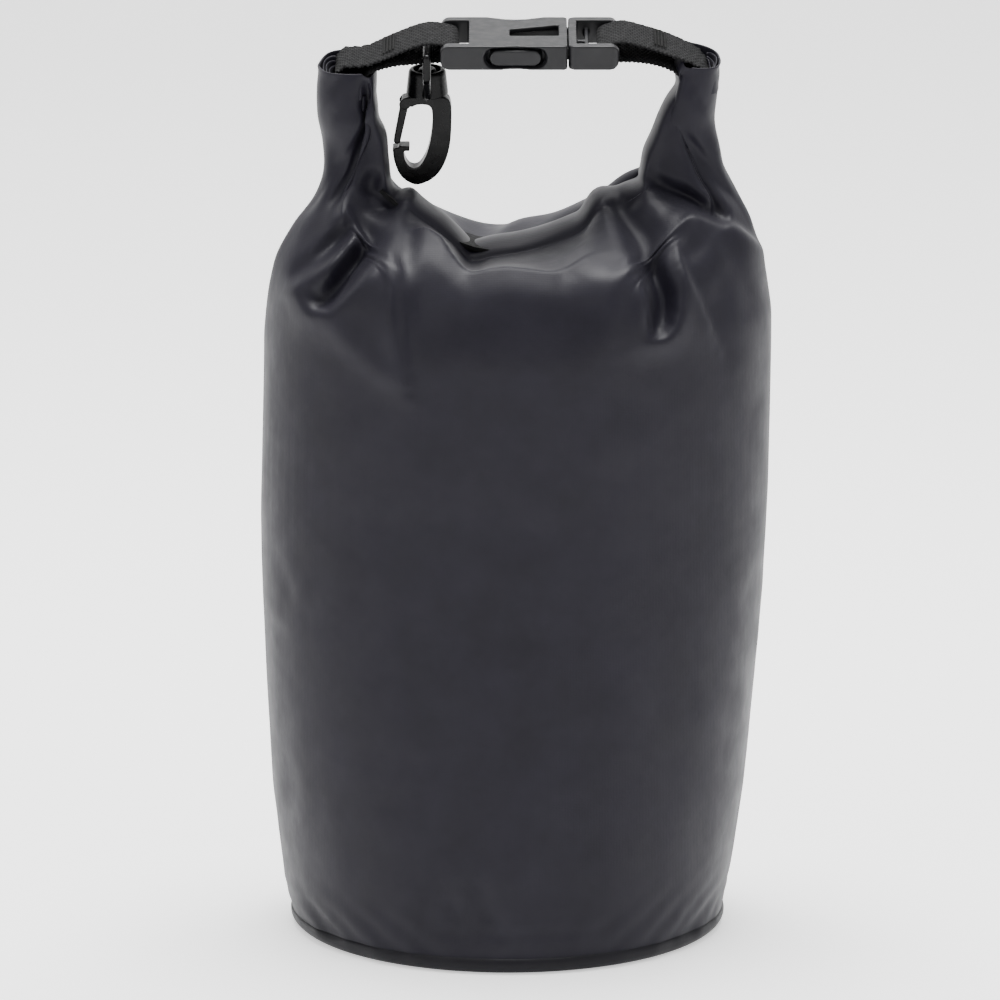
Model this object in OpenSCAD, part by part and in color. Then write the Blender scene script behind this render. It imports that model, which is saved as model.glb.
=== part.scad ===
// Roll-top dry bag, standing on its round base with its mouth rolled down.
// The two ends of the roll are turned up and buckled together as a carrying loop, and a
// small swivel snap hook hangs on the left strap. Millimetres, +Z up, +X to the bag's right,
// origin at the centre of the base's underside.

/* [Bag] */
// Diameter of the round base
base_d = 127; // [120:1:132]
// Width of the filled bag, across X
bag_w = 150; // [146:1:154]
// Depth of the filled bag, along Y
bag_depth = 102; // [96:1:108]
// Height at which the shoulder starts
shoulder_z = 186; // [182:1:188]
// Thickness of the coated fabric
fabric_t = 0.6; // [0.4:0.1:0.8]

/* [Roll] */
// Width of the rolled mouth, along Y
roll_w = 22; // [20:1:24]
// Thickness of the rolled mouth
roll_t = 10; // [9:0.5:11]
// Thickness of each turned-up end, across X
horn_t = 17; // [15:0.5:18]

/* [Straps] */
// Width of the webbing
webbing_w = 20; // [19:0.5:21]
// Thickness of the webbing
webbing_t = 1.3; // [1:0.1:1.4]
// Forward lean of the buckle, straps and hook about X
handle_lean = 10; // [6:1:12]
// Height of the buckle's middle
handle_z = 264.3; // [263:0.1:266]

/* [Buckle] */
// Width of the buckle, across the webbing
buckle_w = 27; // [26:0.5:28]
// Thickness of the buckle
buckle_t = 7.2; // [7:0.1:8]
// Radius of the bars that the webbing goes round
bar_r = 1.5; // [1.4:0.1:1.6]

/* [Hook] */
// Distance of the hook's eye from the middle of the buckle
hook_x = -23.7; // [-24.5:0.1:-23]
// Radius of the eye's round wire
eye_r = 1.2; // [1:0.1:1.3]
// Thickness of the hook, front to back
hook_t = 5; // [4.5:0.1:5.4]
// Radius of the swivel stem
stem_r = 2.2; // [1.9:0.1:2.3]

/* [Hidden] */

// Colours
fabric_colour = [0.13, 0.13, 0.15];
webbing_colour = [0.09, 0.09, 0.09];
plastic_colour = [0.2, 0.2, 0.22];
hook_colour = [0.08, 0.08, 0.09];
tape_colour = [0.25, 0.25, 0.27];
thread_colour = [0.05, 0.05, 0.05];

// Bag
base_r = base_d / 2;
panel_t = 0.6;
hem_h = 4.5;
hem_t = 0.6;
hem_gap = 0.1;
hem_top = hem_h + 0.4;
tube_r = base_r - hem_t - hem_gap;
swell_z = 120;
bag_shift = 2.5;
mouth_half_w = 47;
mouth_half_d = 8;
shoulder_rise = 13;
end_rise = 22;
ring_points = 48;
side_rings = 20;
shoulder_rings = 12;
tape_t = 0.3;
tape_gap = 0.15;
tape_w = 16;
tape_dip = 0.75;
tape_crown = 0.1;
seam_gap = 0.05;

// Roll: its middle line in the XZ plane, the mouth first and then the two upturned ends
mouth_path = [
    [-39, 224], [-32, 217.5], [-23, 211], [-10, 205], [6.5, 203.5], [22, 205.5], [32, 210.5], [39, 217]
];
left_end_path = [[-39, 224], [-43.6, 230], [-46, 237], [-47.2, 247], [-47, 258]];
right_end_path = [[50.4, 227.5], [51.4, 233], [52, 239], [52.8, 248], [55, 259.5]];
roll_points = 16;
rim_gap = 0.3;
rim_t = 1.2;
rim_w = 19;
slot_corner = 0.35;

// Straps, in the handle's own leaning frame with the buckle's middle at its origin
bar_gap = 0.1;
loop_r = bar_r + bar_gap + webbing_t / 2;
left_bar_x = -17.2;
right_bar_x = 28.6;
left_upper_path = [[-45.9, -4.6], [-44.2, -1.6], [-40, 0.6], [-34, 2.6], [-27, 3.4], [-22, 3.1]];
left_lower_path = [[-22, -2.5], [-27, -3], [-33, -4], [-38.5, -5.4], [-41.6, -7.3], [-42.6, -9.4]];
right_upper_path = [[56.2, -4.6], [53.2, -1], [48.5, 0.6], [42, 2.2], [36, 3], [32.5, 3]];
right_lower_path = [[32.5, -2.2], [37, -2.4], [42, -3.2], [46, -4.6], [48.6, -6.6], [49.6, -9]];
tack_t = 0.5;
tack_pitch = 1;
tack_w = 14;
tack_rows = 4;
tack_gap = 0.02;
thread_share = 0.7;
left_tack = [-37, 1.75];
left_tack_tilt = -19;
right_tack = [45.4, 1.5];
right_tack_tilt = 15;

// Buckle, in the same frame
socket_left = -11.5;
socket_right = 17.2;
socket_cheek_left = -19.8;
plug_left = 17.5;
plug_right = 32.3;
wall_t = 1.5;
side_wall_t = 1.8;
socket_corner_r = 1;
plug_corner_r = 2;
window_w = webbing_w + 0.8;
plug_wall_t = 2.4;
cavity_h = buckle_t - 2 * wall_t;
cavity_w = buckle_w - 2 * side_wall_t;
cavity_left = -9.5;
tongue_w = 4;
tongue_left = -1;
crossbar_inset = 2.4;
crossbar_w = 1.2;
crossbar_t = 2;
rib_l = 2.8;
rib_w = 1.6;
root_room = 0.3;
arm_t = 2.2;
arm_h = 3.4;
arm_root_x = 16;
arm_root_y = 8.8;
arm_tip_x = -8.5;
pad_left = -5.3;
pad_right = 9.5;
pad_h = 4.6;
pad_root = 1.4;
pad_sink = 1.3;
pad_depth = 3;
blade_taper = 0.6;
head_taper = 0.2;
window_margin = 1.2;
window_room = 0.3;
window_depth = 12;
recess_margin = 0.75;
recess_depth = 0.9;
waist_depth = 2.1;
waist_r = 16;
near_waist_depth = 0.5;
end_round = 2.6;
slot_left = 0.4;
slot_right = 14.7;
slot_near_y = -3.4;
slot_far_y = [2.2, 6.2];

// Hook, in a frame with its origin on the middle of the eye's top bar
hook_drop = 0.6;
eye_room = 0.7;
eye_taper = 0.6;
eye_sink = 0.2;
eye_half_w = webbing_w / 2 + eye_room + eye_r;
eye_knee_z = -6.5;
eye_foot_z = -13.4;
boss_seat = -9.2;
boss_top = -7.2;
boss_bottom = -14.8;
boss_top_r = 5.5;
boss_bottom_r = 6.2;
boss_rim = 0.9;
head_room = 0.5;
stem_gap = 0.06;
hook_gap = 0.3;
ear_r = 3.5;
ear_top = -7.1;
ear_gap = 0.2;
ear_split = 1;
hook_outer_points = [
    [-7.9, -16.8], [-5.6, -15.4], [0, -15.3], [5.2, -15.4], [6.9, -17.4], [7.1, -23], [6.7, -29.5],
    [5.5, -34.5], [3.3, -38.8], [0, -41.5], [-3.8, -42.4], [-7.6, -40], [-9.6, -35.6], [-10.2, -30.6],
    [-9.6, -23]
];
hook_inner_points = [
    [-4.2, -18.2], [-1.4, -17.6], [1, -18.4], [1.5, -22], [1, -28], [-0.4, -33.4], [-2.6, -36.9],
    [-5, -37], [-6.6, -34.6], [-6.9, -31], [-6.3, -26], [-5.4, -21]
];
gate_pivot = [-6.6, -17.6];
gate_tip = [-8.9, -29.1];
gate_t = 2.4;
gate_w = 3.4;
pin_r = 0.8;
pin_gap = 0.05;
gate_gap = 0.35;
gate_taper = 0.2;
gate_cheek_t = 0.6;
mouth_points = [[-14, -16], [-7.6, -17.2], [-4, -18.5], [-6, -30.55], [-14, -31.9]];
barb_at = [-8.4, -32];
barb_size = [3.2, 1.5];
stem_root = 0.3;
ear_taper = 1.2;

function smooth(t) = t * t * (3 - 2 * t);
function lerp(a, b, t) = a + (b - a) * t;
function unit(v) = v / norm(v);

// Catmull-Rom curve through a short list of points, with per_span steps between neighbours
function spline_point(p, i, t) =
    let (
        last = len(p) - 1,
        p0 = p[max(i - 1, 0)],
        p1 = p[i],
        p2 = p[min(i + 1, last)],
        p3 = p[min(i + 2, last)]
    )
    0.5 * (2 * p1 + (p2 - p0) * t + (2 * p0 - 5 * p1 + 4 * p2 - p3) * t * t
        + (3 * p1 - p0 - 3 * p2 + p3) * t * t * t);
function spline(p, per_span) = [
    for (i = [0:len(p) - 2], k = [0:per_span - 1]) spline_point(p, i, k / per_span),
    p[len(p) - 1]
];

// The same through a closed loop of points
function closed_spline(p, per_span) =
    let (n = len(p), w = concat([p[n - 1]], p, [p[0], p[1]]))
    [for (i = [1:n], k = [0:per_span - 1]) spline_point(w, i, k / per_span)];

// Direction of an XZ path at point i
function heading(p, i) = unit(p[min(i + 1, len(p) - 1)] - p[max(i - 1, 0)]);

// One ring of a flattened round section, half_w along Y and half_t across the path
function round_ring(p, i, half_w, half_t) =
    let (d = heading(p, i))
    [for (k = [0:roll_points - 1])
        let (a = 360 * k / roll_points, across = half_t * sin(a))
        [p[i].x - d.y * across, -half_w * cos(a), p[i].y + d.x * across]];

// One ring of a flat rectangular section
function flat_ring(p, i, half_w, half_t) =
    let (d = heading(p, i))
    [for (c = [[1, 1], [-1, 1], [-1, -1], [1, -1]])
        [p[i].x - d.y * half_t * c.y, -half_w * c.x, p[i].y + d.x * half_t * c.y]];

// Closed solid through a list of equal rings, with a flat cap on each end
module loft(rings) {
    n = len(rings[0]);
    last = len(rings) - 1;
    side = [for (r = [0:last - 1], k = [0:n - 1])
        let (a = r * n + k, b = r * n + (k + 1) % n)
        each [[a, b, b + n], [a, b + n, a + n]]];
    start_cap = [for (k = [1:n - 2]) [0, k + 1, k]];
    end_cap = [for (k = [1:n - 2]) [last * n, last * n + k, last * n + k + 1]];
    polyhedron([for (r = rings) each r], concat(side, start_cap, end_cap));
}

// Half width, half depth and end rise of the bag at height z below the shoulder
function swell(z) = sin(90 * max(0, min(1, (z - hem_top) / swell_z)));
function side_half_w(z) = lerp(tube_r, bag_w / 2, swell(z));
function side_half_d(z) = lerp(tube_r, bag_depth / 2, swell(z));

// A ring of the bag at step u: 0 to 1 up the side and 1 to 2 over the shoulder
function bag_ring(u, inset) =
    let (
        v = max(0, u - 1),
        z = u < 1 ? lerp(panel_t, shoulder_z, u) : shoulder_z + (shoulder_rise - inset) * sin(90 * v),
        close = pow(max(0, cos(90 * v)), 0.8),
        half_w = (u < 1 ? side_half_w(z) : lerp(mouth_half_w, bag_w / 2, close)) - inset,
        half_d = (u < 1 ? side_half_d(z) : lerp(mouth_half_d, bag_depth / 2, close)) - inset,
        shift = bag_shift * smooth(min(1, z / shoulder_z)),
        rise = end_rise * pow(v, 1.5)
    )
    [for (k = [0:ring_points - 1])
        let (a = 360 * k / ring_points)
        [shift + half_w * cos(a), half_d * sin(a), z + rise * pow(abs(cos(a)), 3)]];

function bag_steps() = concat(
    [0, (hem_top - panel_t) / (shoulder_z - panel_t)],
    [for (i = [1:side_rings - 1]) i / side_rings],
    [for (i = [0:shoulder_rings]) 1 + i / shoulder_rings]
);

// Faces that close the top ring, front to back, as a ladder
function ladder(first, flip) = [
    for (k = [0:ring_points / 2 - 1])
        let (
            a = first + k,
            b = first + k + 1,
            c = first + (ring_points - k - 1) % ring_points,
            d = first + (ring_points - k) % ring_points
        )
        each (flip ? [[a, c, b], [a, d, c]] : [[a, b, c], [a, c, d]])
];

// The tube of coated fabric, from the base to the closed slot under the roll
module body_shell() {
    steps = bag_steps();
    rings = len(steps);
    n = ring_points;
    inner = [for (i = [rings - 1:-1:0]) bag_ring(steps[i], fabric_t)];
    outer = [for (u = steps) bag_ring(u, 0)];
    side = [for (r = [0:2 * rings - 2], k = [0:n - 1])
        let (a = r * n + k, b = r * n + (k + 1) % n)
        each [[a, b + n, b], [a, a + n, b + n]]];
    faces = concat(side, ladder(0, false), ladder((2 * rings - 1) * n, true));
    color(fabric_colour) polyhedron([for (r = concat(inner, outer)) each r], faces);
}

// Round bottom with its edge turned up outside the tube as a hem
module base_panel() {
    color(fabric_colour)
        rotate_extrude($fn = 128)
            polygon([
                [0, 0], [base_r, 0], [base_r, hem_h], [base_r - hem_t, hem_h],
                [base_r - hem_t, panel_t - seam_gap], [0, panel_t - seam_gap]
            ]);
}

// Sealing tape over the base seam, inside
module base_seam_tape() {
    tape_r = tube_r - fabric_t - tape_gap;
    color(tape_colour)
        translate([0, 0, panel_t + seam_gap])
            difference() {
                cylinder(h = hem_h - panel_t, r = tape_r, $fn = 128);
                translate([0, 0, -1]) cylinder(h = tape_w, r = tape_r - tape_t, $fn = 128);
            }
}

// Sealing tape up the tube's back seam, inside
module side_seam_tape() {
    back_inset = fabric_t + tape_gap;
    steps = [for (i = [1:side_rings - 1]) i / side_rings];
    rings = [for (u = steps)
        let (z = lerp(panel_t, shoulder_z, u), d = side_half_d(z), w = tape_w / 2,
            y_mid = d - back_inset, y_edge = y_mid - tape_dip, s = bag_shift * smooth(z / shoulder_z))
        [[s - w, y_edge, z], [s, y_mid - tape_crown, z], [s + w, y_edge, z],
            [s + w, y_edge - tape_t, z], [s, y_mid - tape_crown - tape_t, z], [s - w, y_edge - tape_t, z]]];
    color(tape_colour) loft(rings);
}

// Closed tube between matching outer and inner rings, open along its length
module hollow_loft(outer, inner) {
    rings = concat(outer, [for (i = [len(inner) - 1:-1:0]) inner[i]]);
    n = len(rings[0]);
    count = len(rings);
    faces = [for (r = [0:count - 1], k = [0:n - 1])
        let (
            a = r * n + k,
            b = r * n + (k + 1) % n,
            c = (r + 1) % count * n + (k + 1) % n,
            d = (r + 1) % count * n + k
        )
        each [[a, b, c], [a, c, d]]];
    polyhedron([for (r = rings) each r], faces);
}

// One ring of a nearly rectangular section with roll_points points
function slot_ring(p, i, half_w, half_t) =
    let (d = heading(p, i))
    [for (k = [0:roll_points - 1])
        let (
            a = 360 * k / roll_points,
            along = sign(cos(a)) * pow(abs(cos(a)), slot_corner),
            across = half_t * sign(sin(a)) * pow(abs(sin(a)), slot_corner)
        )
        [p[i].x - d.y * across, -half_w * along, p[i].y + d.x * across]];

// The middle of the roll, hollow along its length for the stiff rim webbing
module rolled_mouth() {
    p = spline(mouth_path, 3);
    outer = [for (i = [0:len(p) - 1]) round_ring(p, i, roll_w / 2, roll_t / 2)];
    inner = [for (i = [0:len(p) - 1]) slot_ring(p, i, rim_w / 2 + rim_gap, rim_t / 2 + rim_gap)];
    color(fabric_colour) hollow_loft(outer, inner);
}

// Webbing sewn along the bag's rim, rolled up in the middle of the roll
module rim_webbing() {
    p = spline(mouth_path, 3);
    color(webbing_colour) loft([for (i = [1:len(p) - 2]) flat_ring(p, i, rim_w / 2, rim_t / 2)]);
}

// One upturned end of the roll, with the strap's slot along its middle
module rolled_end(path, start_t) {
    p = spline(path, 4);
    last = len(p) - 1;
    loft([for (i = [0:last])
        let (grow = smooth(min(1, 2 * i / last)))
        round_ring(p, i, roll_w / 2 - grow, lerp(start_t, horn_t, grow) / 2)]);
}

module rolled_left_end() {
    color(fabric_colour)
        difference() {
            rolled_end(left_end_path, roll_t);
            handle() strap_pocket(left_upper_path, left_lower_path);
        }
}

module rolled_right_end() {
    color(fabric_colour)
        difference() {
            rolled_end(right_end_path, horn_t - 1);
            handle() strap_pocket(right_upper_path, right_lower_path);
        }
}

// Puts its children in the handle's leaning frame
module handle() {
    translate([0, 0, handle_z]) rotate([handle_lean, 0, 0]) children();
}

// Webbing path: upper layer in, half a turn round the bar, lower layer out
function strap_path(upper, lower, bar_x, side) =
    let (
        turn = [for (a = [90:-22.5:-90]) [bar_x + side * loop_r * cos(a), loop_r * sin(a)]]
    )
    concat(spline(upper, 2), turn, spline(lower, 2));

module strap(path) {
    loft([for (i = [0:len(path) - 1]) flat_ring(path, i, webbing_w / 2, webbing_t / 2)]);
}

module strap_left() {
    color(webbing_colour) handle() strap(strap_path(left_upper_path, left_lower_path, left_bar_x, 1));
}

module strap_right() {
    color(webbing_colour) handle() strap(strap_path(right_upper_path, right_lower_path, right_bar_x, -1));
}

// Room that both layers of a strap need inside a rolled end
module strap_pocket(upper, lower) {
    ends = [upper[0], upper[1], upper[2], lower[3], lower[4], lower[5]];
    grow = webbing_t / 2 + rim_gap;
    rotate([90, 0, 0])
        linear_extrude(webbing_w + 2 * rim_gap, center = true)
            offset(delta = grow) polygon(ends);
}

// Rows of thread that hold two layers of webbing together
module bar_tack(at, tilt) {
    color(thread_colour)
        handle()
            translate([at.x, 0, at.y])
                rotate([0, tilt, 0])
                    for (row = [0:tack_rows - 1])
                        translate([(row - (tack_rows - 1) / 2) * tack_pitch, 0, webbing_t / 2 + tack_gap])
                            translate([-tack_pitch * thread_share / 2, -tack_w / 2, 0])
                                cube([tack_pitch * thread_share, tack_w, tack_t]);
}

module bar_tack_left() {
    bar_tack(left_tack, left_tack_tilt);
}

module bar_tack_right() {
    bar_tack(right_tack, right_tack_tilt);
}

// A box with rounded vertical edges between two X positions, centred on Y and Z
module slab(x0, x1, w, h, r) {
    translate([x0, -w / 2, -h / 2])
        linear_extrude(h)
            translate([r, r])
                offset(r = r, $fn = 32) square([x1 - x0 - 2 * r, w - 2 * r]);
}

module mirror_y() {
    children();
    mirror([0, 1, 0]) children();
}

// Opening through a buckle half between two X positions, for the webbing and its bar
module webbing_window(x0, x1) {
    translate([x0, -window_w / 2, -buckle_t]) cube([x1 - x0, window_w, 2 * buckle_t]);
}

// Round bar across a buckle half's window
module webbing_bar(x) {
    translate([x, 0, 0])
        rotate([90, 0, 0]) cylinder(h = window_w + 1, r = bar_r, center = true, $fn = 48);
}

// Lengthwise oval in the XZ plane round a release arm's pad, with a margin
module pad_oval(margin_x, margin_z, depth) {
    x0 = pad_left - margin_x;
    x1 = pad_right + margin_x;
    r = pad_h / 2 + margin_z;
    rotate([90, 0, 0])
        linear_extrude(depth, center = true) {
            translate([x0 + r, 0]) circle(r, $fn = 32);
            translate([x1 - r, 0]) circle(r, $fn = 32);
            translate([x0 + r, -r]) square([x1 - x0 - 2 * r, 2 * r]);
        }
}

// Window in the socket's side for a release arm's pad, with a shallow recess round it
module side_window() {
    translate([0, -buckle_w / 2, 0]) {
        pad_oval(window_margin, window_room, window_depth);
        pad_oval(window_margin + 0.6, recess_margin, 2 * recess_depth);
    }
}

// Side outline of a buckle half, round at one end, as a bar right across it
module rounded_end(x_round, x_square) {
    dir = sign(x_square - x_round);
    rotate([90, 0, 0])
        linear_extrude(buckle_w + 2, center = true) {
            translate([x_round + dir * end_round, -buckle_t / 2 + end_round])
                offset(r = end_round, $fn = 32)
                    mirror([dir < 0 ? 1 : 0, 0])
                        square([abs(x_square - x_round) - 2 * end_round, buckle_t - 2 * end_round]);
            translate([dir > 0 ? x_square - end_round - 1 : x_square, -buckle_t / 2])
                square([end_round + 1, buckle_t]);
        }
}

module waist(depth) {
    translate([(pad_left + pad_right) / 2, buckle_w / 2 + waist_r - depth, -buckle_t])
        cylinder(h = 2 * buckle_t, r = waist_r, $fn = 128);
}

// Female half of the buckle
module buckle_socket() {
    color(plastic_colour)
        handle() {
            difference() {
                intersection() {
                    slab(socket_cheek_left, socket_right, buckle_w, buckle_t, socket_corner_r);
                    rounded_end(socket_cheek_left, socket_right);
                }
                webbing_window(socket_cheek_left - 1, socket_left);
                // cavity for the plug, open to the right
                translate([cavity_left, -cavity_w / 2, -cavity_h / 2])
                    cube([socket_right - socket_left, cavity_w, cavity_h]);
                mirror_y() side_window();
                // waisted edges above and below the pads, deeper at the back
                waist(waist_depth);
                mirror([0, 1, 0]) waist(near_waist_depth);
                // wedge-shaped slot in the top and bottom plates
                translate([0, 0, -buckle_t])
                    linear_extrude(2 * buckle_t)
                        polygon([
                            [slot_left, slot_near_y], [slot_right, slot_near_y],
                            [slot_right, slot_far_y[1]], [slot_left, slot_far_y[0]]
                        ]);
            }
            webbing_bar(left_bar_x);
        }
}

// Male half of the buckle, without its two release arms
module buckle_plug() {
    color(plastic_colour)
        handle() {
            difference() {
                intersection() {
                    slab(plug_left, plug_right, buckle_w, buckle_t, plug_corner_r);
                    rounded_end(plug_right, plug_left);
                }
                webbing_window(plug_left + plug_wall_t, plug_right + 1);
                // roots of the release arms
                mirror_y()
                    translate([plug_left - 1, arm_root_y - arm_t / 2 - root_room, -arm_h / 2 - root_room])
                        cube([wall_t + 1.2, arm_t + 2 * root_room, arm_h + 2 * root_room]);
            }
            webbing_bar(right_bar_x);
            // guide tongue with a rounded tip
            translate([0, 0, -arm_h / 2])
                linear_extrude(arm_h) {
                    translate([tongue_left + tongue_w / 2, 0]) circle(tongue_w / 2, $fn = 32);
                    translate([tongue_left + tongue_w / 2, -tongue_w / 2])
                        square([plug_left - tongue_left - tongue_w / 2 + 0.01, tongue_w]);
                }
            // crossbar and rib in the window
            translate([plug_left + plug_wall_t + crossbar_inset, -window_w / 2 - 0.01, -crossbar_t / 2])
                cube([crossbar_w, window_w + 0.02, crossbar_t]);
            translate([plug_left + plug_wall_t - 0.1, -rib_w / 2, -crossbar_t / 2])
                cube([rib_l, rib_w, crossbar_t]);
        }
}

// One sprung arm of the plug: blade, latching head and the oval pad in the socket's window
module release_arm() {
    blade_r = arm_t / 2;
    head_y = -arm_root_y - blade_r;
    translate([0, 0, -arm_h / 2])
        linear_extrude(arm_h)
            polygon([
                [arm_root_x + 2, head_y], [arm_root_x + 2, -arm_root_y + blade_r],
                [pad_right, -arm_root_y + blade_r], [arm_tip_x, -arm_root_y + blade_r - blade_taper],
                [arm_tip_x, head_y - head_taper], [pad_left, head_y - pad_root],
                [pad_right, head_y - pad_root], [pad_right, head_y]
            ]);
    translate([0, -buckle_w / 2 + pad_sink, 0]) pad_oval(0, 0, pad_depth);
}

module release_arm_front() {
    color(plastic_colour) handle() release_arm();
}

module release_arm_back() {
    color(plastic_colour) handle() mirror([0, 1, 0]) release_arm();
}

// Puts its children in the hook's frame, on the strap's lower layer
module at_hook() {
    handle() translate([hook_x, 0, -hook_drop]) children();
}

// Round wire between two points of the eye, in the YZ plane
module eye_wire(a, b) {
    hull() {
        translate([0, a.x, a.y]) sphere(eye_r, $fn = 24);
        translate([0, b.x, b.y]) sphere(eye_r, $fn = 24);
    }
}

// Loop on the webbing, with the hub that the hook turns in
module hook_eye() {
    color(hook_colour)
        at_hook() {
            rotate([90, 0, 0]) cylinder(h = 2 * eye_half_w, r = eye_r, center = true, $fn = 32);
            mirror_y() {
                eye_wire([eye_half_w, 0], [eye_half_w - eye_taper, eye_knee_z]);
                eye_wire([eye_half_w - eye_taper, eye_knee_z], [boss_bottom_r - eye_sink, eye_foot_z]);
            }
            // hub with a round shoulder and a seat for the stem's head
            difference() {
                rotate_extrude($fn = 64)
                    polygon([
                        [0, boss_bottom], [boss_bottom_r, boss_bottom], [boss_top_r, boss_top - boss_rim],
                        [boss_top_r - 0.3 * boss_rim, boss_top - 0.3 * boss_rim],
                        [boss_top_r - boss_rim, boss_top], [0, boss_top]
                    ]);
                translate([0, 0, boss_bottom - 1]) cylinder(h = 9, r = stem_r + stem_gap, $fn = 64);
                translate([0, 0, boss_seat]) cylinder(h = 9, r = ear_r + head_room, $fn = 64);
            }
        }
}

// Outline of the hook's closed ring, in the XZ plane
module hook_outline() {
    polygon(closed_spline(hook_outer_points, 4));
}

module hook_inside() {
    polygon(closed_spline(hook_inner_points, 4));
}

// Hook with its swivel stem, whose split head snaps over the hub
module hook_body() {
    color(hook_colour)
        at_hook() {
            rotate([90, 0, 0])
                linear_extrude(hook_t, center = true)
                    difference() {
                        hook_outline();
                        hook_inside();
                        // mouth that the gate closes
                        polygon(mouth_points);
                        translate(gate_pivot) circle(gate_t / 2 + gate_gap, $fn = 48);
                    }
            // gate pin
            translate([gate_pivot.x, 0, gate_pivot.y])
                rotate([90, 0, 0]) cylinder(h = hook_t, r = pin_r, center = true, $fn = 48);
            for (s = [-1, 1])
                translate([gate_pivot.x, s * (hook_t - gate_cheek_t) / 2, gate_pivot.y])
                    rotate([90, 0, 0])
                        cylinder(h = gate_cheek_t, r = gate_t / 2 + gate_gap + 0.1, center = true, $fn = 48);
            // barb that the gate's tip rests on
            translate([barb_at.x, -hook_t / 2, barb_at.y]) cube([barb_size.x, hook_t, barb_size.y]);
            translate([0, 0, boss_bottom - hook_gap - stem_root])
                cylinder(h = ear_top - boss_bottom + hook_gap + stem_root, r = stem_r, $fn = 64);
            difference() {
                translate([0, 0, boss_seat + ear_gap])
                    cylinder(h = ear_top - boss_seat - ear_gap, r1 = ear_r, r2 = ear_r - ear_taper, $fn = 64);
                translate([-ear_split / 2, -ear_r - 1, boss_seat + ear_gap - 0.01])
                    cube([ear_split, 2 * ear_r + 2, 4]);
            }
        }
}

// Sprung gate, hinged at its top and closing the hook's mouth
module hook_gate() {
    tip = gate_tip - gate_pivot;
    color(hook_colour)
        at_hook()
            translate([gate_pivot.x, 0, gate_pivot.y])
                rotate([90, 0, 0])
                    difference() {
                        linear_extrude(gate_w, center = true)
                            hull() {
                                circle(gate_t / 2, $fn = 32);
                                translate(tip) circle(gate_t / 2 - gate_taper, $fn = 32);
                            }
                        cylinder(h = hook_t, r = pin_r + pin_gap, center = true, $fn = 48);
                    }
}

body_shell();
base_panel();
base_seam_tape();
side_seam_tape();
rolled_mouth();
rolled_left_end();
rolled_right_end();
rim_webbing();
strap_left();
strap_right();
bar_tack_left();
bar_tack_right();
buckle_socket();
buckle_plug();
release_arm_front();
release_arm_back();
hook_eye();
hook_body();
hook_gate();
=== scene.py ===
"""A small roll-top dry bag, standing on its base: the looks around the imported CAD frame.

The fabric is solved as cloth in millimetres and built in metres. Front is -Y.
"""
import math

import bmesh
import bpy
import numpy as np
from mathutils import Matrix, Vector


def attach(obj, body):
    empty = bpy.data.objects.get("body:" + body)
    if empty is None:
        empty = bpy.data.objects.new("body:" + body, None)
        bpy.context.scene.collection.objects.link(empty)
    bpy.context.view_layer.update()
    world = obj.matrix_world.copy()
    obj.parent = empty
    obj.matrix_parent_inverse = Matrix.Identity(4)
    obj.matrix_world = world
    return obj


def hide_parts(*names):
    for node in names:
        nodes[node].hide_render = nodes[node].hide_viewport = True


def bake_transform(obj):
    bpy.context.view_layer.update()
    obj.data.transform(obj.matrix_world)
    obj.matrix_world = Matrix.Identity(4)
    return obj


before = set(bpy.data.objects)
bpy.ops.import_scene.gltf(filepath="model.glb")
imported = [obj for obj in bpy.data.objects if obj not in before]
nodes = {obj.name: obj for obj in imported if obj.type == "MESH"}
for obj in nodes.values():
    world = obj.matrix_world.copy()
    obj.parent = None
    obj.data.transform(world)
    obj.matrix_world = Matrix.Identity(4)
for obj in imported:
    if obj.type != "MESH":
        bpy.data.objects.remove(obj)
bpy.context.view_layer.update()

MM = 0.001
SEED = 7

# Bag, in millimetres: the sizes that part.scad gives the same pieces
BASE_R = 62.9
SHOULDER_Z = 186.0
BODY_TOP_Z = 168.0
HALF_DEPTH = 51.0
HALF_WIDTH = 75.0       # of the shoulders, both sides averaged
BROW_Z, SHELF_Z, BELOW_Z, NECK_Z = 201, 207, 212, 224   # front fold, flat top, foot and neck of a horn

# Outline of the stuffed bag seen from the front: height, half width from the middle of the base
LEFT_SIDE = [(0, 62.9), (12, 66.5), (42, 70.2), (75, 71.8), (110, 73), (126, 73.1), (156, 72.2), (186, 71.5)]
RIGHT_SIDE = [(0, 62.9), (20, 67), (42, 70.2), (73, 73.2), (103, 75.5), (133, 76.8), (186, 77.6)]
# Half depth of the bag by height
DEPTH = [(0, 62.9), (30, 61), (60, 57.5), (100, 53.5), (130, 51.5), (186, HALF_DEPTH)]
# Upturned ends of the roll by height: middle in x, outer half width, half depth
LEFT_HORN = [
    (190, -42, 30, 60), (199, -42, 27.5, 44), (205, -42, 24, 34), (211, -42, 21, 27), (217, -42, 17.6, 20),
    (223, -43, 12.8, 14), (227, -43.5, 10.6, 12), (232, -44.5, 9.8, 11), (244, -46.3, 10, 10),
    (258, -46.8, 9.2, 9.5),
]
RIGHT_HORN = [
    (190, 47, 31, 60), (200, 48, 29.8, 44), (205, 48.5, 28.6, 36), (211, 49, 25, 28), (217, 49, 21.4, 22),
    (223, 50, 16.3, 16), (226, 50, 14.2, 14), (229, 50.5, 11.4, 12), (235, 51.5, 9.2, 11), (240, 52, 8.1, 10),
    (250, 54, 7.3, 9.6), (258, 55, 7.2, 9.3),
]
# Where the fabric of each horn ends towards the carrying gap: height, x
LEFT_INNER = [(216, -27), (222, -34.6), (228, -36.2), (235, -37), (241, -39), (250, -39.8), (260, -41)]
RIGHT_INNER = [(216, 24), (221, 30), (226, 39.5), (231, 41), (236, 43.5), (245, 46.5), (253, 50), (261, 49.5)]
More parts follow.
